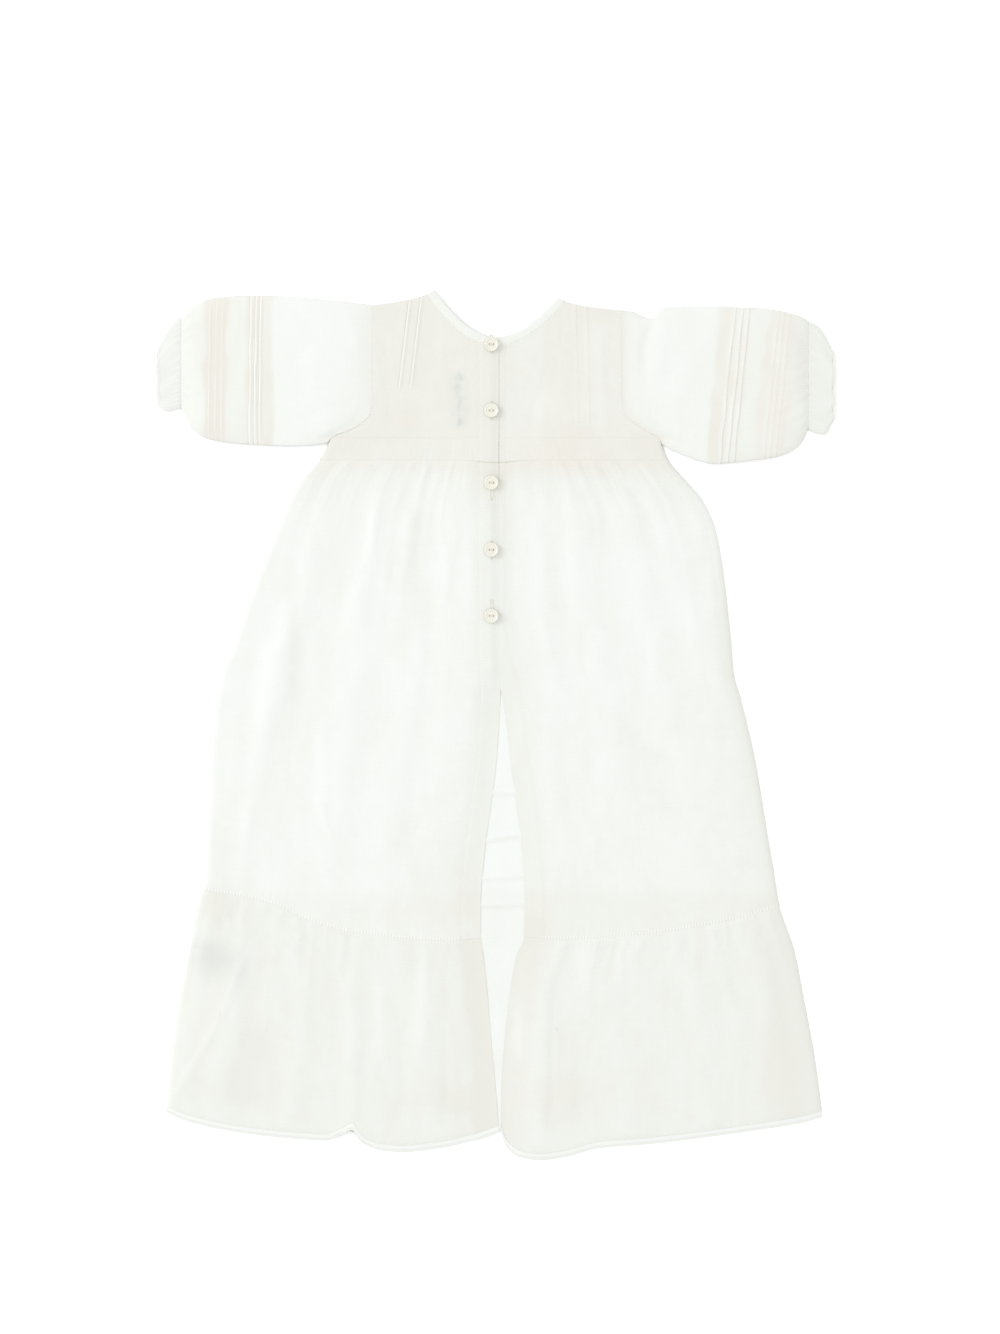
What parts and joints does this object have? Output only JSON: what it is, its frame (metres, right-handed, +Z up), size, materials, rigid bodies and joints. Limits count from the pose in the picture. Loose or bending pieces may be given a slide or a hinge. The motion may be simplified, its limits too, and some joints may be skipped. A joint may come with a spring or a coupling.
{
  "type": "christening dress",
  "caption": "Sheer white baby christening gown laid flat, back up: buttoned back opening, tucked puff sleeves with frills, gathered skirt and a flounce.",
  "frame": {"origin": "under the middle of the garment's outline, on the surface that it lies on", "axes": "+Y from the hem to the neck, +Z up from the surface towards the back of the dress, +X to the right as seen from above"},
  "size_m": [0.5228, 0.6692, 0.0073],
  "materials": {
    "cotton": "matte sheer plain-weave cotton lawn, white with a cool tinge",
    "folded_cotton": "the same cotton folded double, a little creamier",
    "buttons": "pearly cream shirt buttons"
  },
  "bodies": {
    "root": {"bodice_front": "cotton", "bodice_back_left": "cotton", "bodice_back_right": "cotton", "bodice_placket_left": "folded_cotton", "bodice_placket_right": "folded_cotton", "waistband_front": "cotton", "waistband_back_left": "cotton", "waistband_back_right": "cotton", "skirt_front": "cotton", "skirt_back_left": "cotton", "skirt_back_right": "cotton", "skirt_placket_left": "folded_cotton", "skirt_placket_right": "folded_cotton", "flounce_front": "cotton", "flounce_back_left": "cotton", "flounce_back_right": "cotton", "hem_edging_front": "folded_cotton", "hem_edging_back_left": "folded_cotton", "hem_edging_back_right": "folded_cotton", "neck_binding_front": "folded_cotton", "neck_binding_back_left": "folded_cotton", "neck_binding_back_right": "folded_cotton", "sleeve_left": "cotton", "sleeve_right": "cotton", "sleeve_frill_left": "cotton", "sleeve_frill_right": "cotton", "button_neck": "buttons", "button_bodice": "buttons", "button_waist": "buttons", "button_skirt": "buttons", "button_low": "buttons"}
  },
  "joints": []
}
